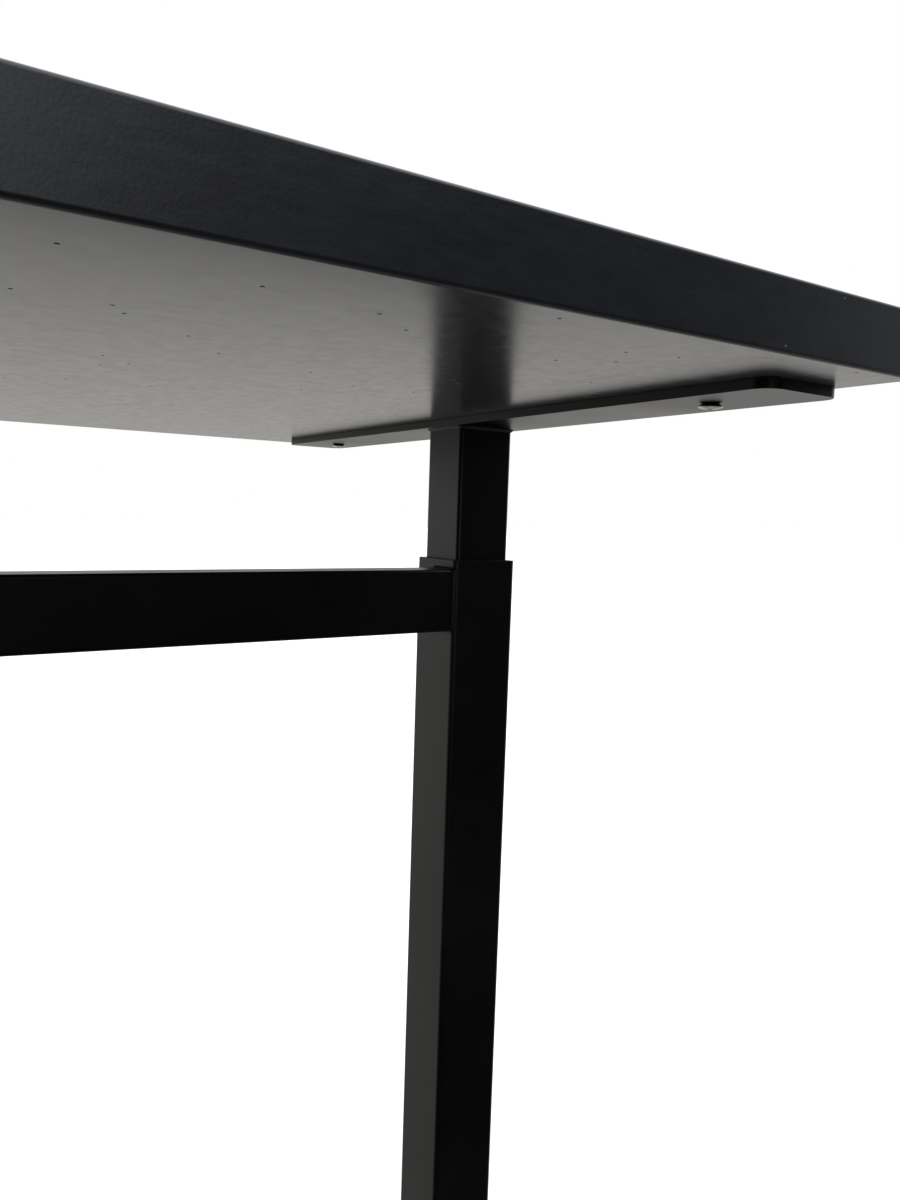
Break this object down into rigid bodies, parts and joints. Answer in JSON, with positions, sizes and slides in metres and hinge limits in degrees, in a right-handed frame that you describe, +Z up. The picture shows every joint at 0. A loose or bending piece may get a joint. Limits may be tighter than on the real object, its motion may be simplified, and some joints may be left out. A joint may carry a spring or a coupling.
{
  "type": "height-adjustable computer desk",
  "caption": "Black rectangular desk on telescopic steel T-legs joined by a crossbar, with mounting plates under the top and a pull-out keyboard tray on ball slides.",
  "frame": {"origin": "on the floor, under the middle of the worktop", "axes": "+X along the desk to the sitter's right, +Y to the back, +Z up; the sitter is on the -Y side"},
  "size_m": [1.5, 0.6, 0.78],
  "materials": {
    "black_laminate": "satin black melamine laminate with a fine texture",
    "particleboard": "raw particleboard",
    "abs_edge_band": "satin black ABS edge band with a fine grain",
    "black_powder_coat": "fine-textured satin black powder coat",
    "bright_zinc": "bright zinc plate",
    "black_oxide_steel": "black oxide",
    "black_nylon": "moulded nylon",
    "rail_steel": "zinc-plated strip steel",
    "bearing_steel": "polished balls in a plated retainer"
  },
  "bodies": {
    "base_frame": {"crossbar": "black_powder_coat", "foot_bolts": "black_oxide_steel", "glide_nuts": "bright_zinc", "left_outer_column": "black_powder_coat", "left_guide_bush": "black_nylon", "left_clamp_insert": "bright_zinc", "left_foot": "black_powder_coat", "left_base_nut_plate": "bright_zinc", "left_front_foot_cap": "black_nylon", "left_back_foot_cap": "black_nylon", "right_outer_column": "black_powder_coat", "right_guide_bush": "black_nylon", "right_clamp_insert": "bright_zinc", "right_foot": "black_powder_coat", "right_base_nut_plate": "bright_zinc", "right_front_foot_cap": "black_nylon", "right_back_foot_cap": "black_nylon"},
    "worktop": {"worktop_core": "particleboard", "worktop_laminate": "black_laminate", "worktop_backer": "black_laminate", "front_edge_band": "abs_edge_band", "back_edge_band": "abs_edge_band", "left_edge_band": "abs_edge_band", "right_edge_band": "abs_edge_band", "plate_screws": "bright_zinc", "bracket_screws": "bright_zinc", "outer_rail_screws": "bright_zinc", "left_mounting_plate": "black_powder_coat", "left_inner_column": "black_powder_coat", "left_column_slider": "black_nylon", "left_tray_bracket": "black_powder_coat", "left_outer_rail": "rail_steel", "right_mounting_plate": "black_powder_coat", "right_inner_column": "black_powder_coat", "right_column_slider": "black_nylon", "right_tray_bracket": "black_powder_coat", "right_outer_rail": "rail_steel"},
    "keyboard_tray": {"tray_board": "black_laminate", "tray_front_band": "abs_edge_band", "tray_back_band": "abs_edge_band", "left_inner_rail": "rail_steel", "right_inner_rail": "rail_steel", "inner_rail_screws": "bright_zinc"},
    "left_cage": {"left_ball_cage": "bearing_steel"},
    "right_cage": {"right_ball_cage": "bearing_steel"},
    "left_clamp": {"left_clamp_bolt": "black_oxide_steel"},
    "right_clamp": {"right_clamp_bolt": "black_oxide_steel"},
    "left_front_glide": {"left_front_glide_pad": "black_nylon", "left_front_glide_stud": "bright_zinc"},
    "left_back_glide": {"left_back_glide_pad": "black_nylon", "left_back_glide_stud": "bright_zinc"},
    "right_front_glide": {"right_front_glide_pad": "black_nylon", "right_front_glide_stud": "bright_zinc"},
    "right_back_glide": {"right_back_glide_pad": "black_nylon", "right_back_glide_stud": "bright_zinc"}
  },
  "joints": [
    {"name": "height_adjustment", "type": "slide", "parent": "base_frame", "child": "worktop", "axis": [0, 0, 1], "range_m": [-0.08, 0.17]},
    {"name": "tray_slide", "type": "slide", "parent": "worktop", "child": "keyboard_tray", "axis": [0, -1, 0], "range_m": [0, 0.18]},
    {"name": "left_cage_roll", "type": "slide", "parent": "worktop", "child": "left_cage", "axis": [0, -1, 0], "range_m": [0, 0.09]},
    {"name": "right_cage_roll", "type": "slide", "parent": "worktop", "child": "right_cage", "axis": [0, -1, 0], "range_m": [0, 0.09]},
    {"name": "left_clamp_turn", "type": "hinge", "parent": "base_frame", "child": "left_clamp", "pos_m": [-0.7225, 0.025, 0.637], "axis": [0, 1, 0], "range_deg": [0, 360]},
    {"name": "right_clamp_turn", "type": "hinge", "parent": "base_frame", "child": "right_clamp", "pos_m": [0.7225, 0.025, 0.637], "axis": [0, 1, 0], "range_deg": [0, 360]},
    {"name": "left_front_levelling", "type": "slide", "parent": "base_frame", "child": "left_front_glide", "axis": [0, 0, -1], "range_m": [0, 0.012]},
    {"name": "left_back_levelling", "type": "slide", "parent": "base_frame", "child": "left_back_glide", "axis": [0, 0, -1], "range_m": [0, 0.012]},
    {"name": "right_front_levelling", "type": "slide", "parent": "base_frame", "child": "right_front_glide", "axis": [0, 0, -1], "range_m": [0, 0.012]},
    {"name": "right_back_levelling", "type": "slide", "parent": "base_frame", "child": "right_back_glide", "axis": [0, 0, -1], "range_m": [0, 0.012]}
  ],
  "couplings": [
    {"joint": "left_cage_roll", "follows": "tray_slide", "ratio": 0.5},
    {"joint": "right_cage_roll", "follows": "tray_slide", "ratio": 0.5}
  ]
}
